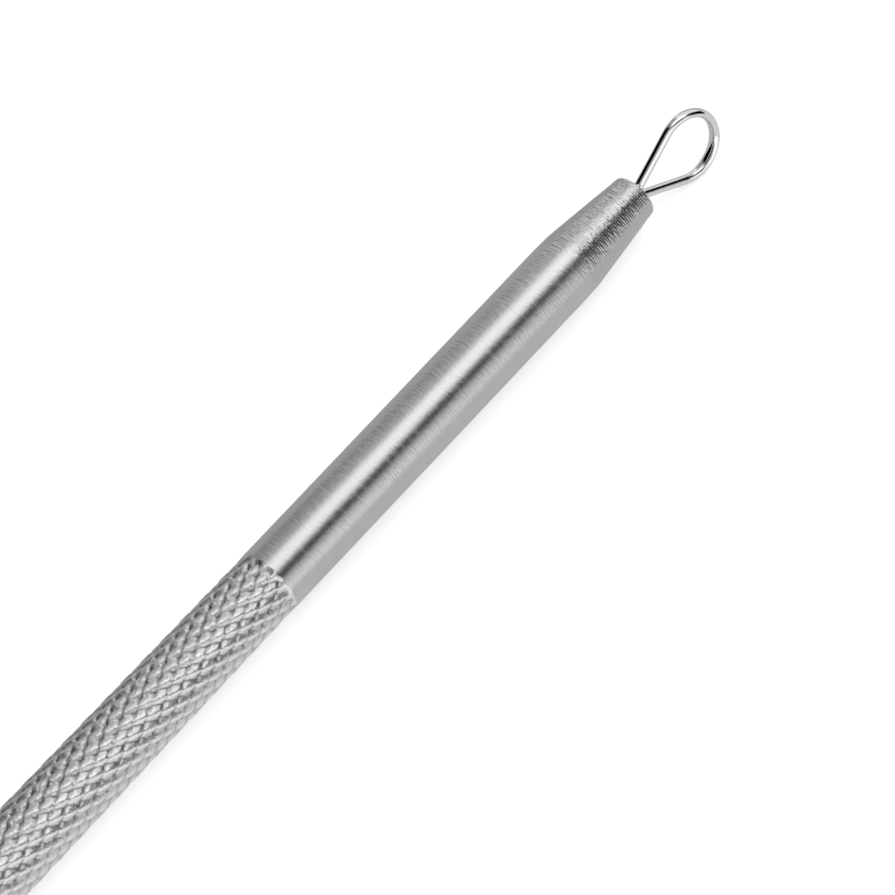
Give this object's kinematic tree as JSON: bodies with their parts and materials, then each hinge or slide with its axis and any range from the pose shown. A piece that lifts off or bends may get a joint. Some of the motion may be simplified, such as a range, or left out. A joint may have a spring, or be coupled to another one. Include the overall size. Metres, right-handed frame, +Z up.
{
  "type": "blackhead extractor",
  "caption": "Slim double-ended steel skin tool: diamond-knurled grip between smooth shanks, a teardrop wire loop on one coned tip and a ground needle on the other.",
  "frame": {"origin": "on the bar's axis in the middle of the knurled grip", "axes": "+X along the bar towards the wire loop, +Z up as the tool lies on a table on its grip, with the loop's plane turned 65 degrees about the bar from level, +Y completes the right-handed frame"},
  "size_m": [0.1238, 0.0042, 0.0044],
  "materials": {
    "handle_steel": "satin turned stainless steel, fine turning rings on the coned tips, rolled diamond knurl on the grip",
    "loop_wire": "polished stainless spring wire",
    "needle_steel": "polished shaft with a finely ground point",
    "braze_metal": "dull silver filler metal"
  },
  "bodies": {
    "root": {"handle": "handle_steel", "extractor_loop": "loop_wire", "loop_braze": "braze_metal", "lancet_needle": "needle_steel", "needle_braze": "braze_metal"}
  },
  "joints": []
}
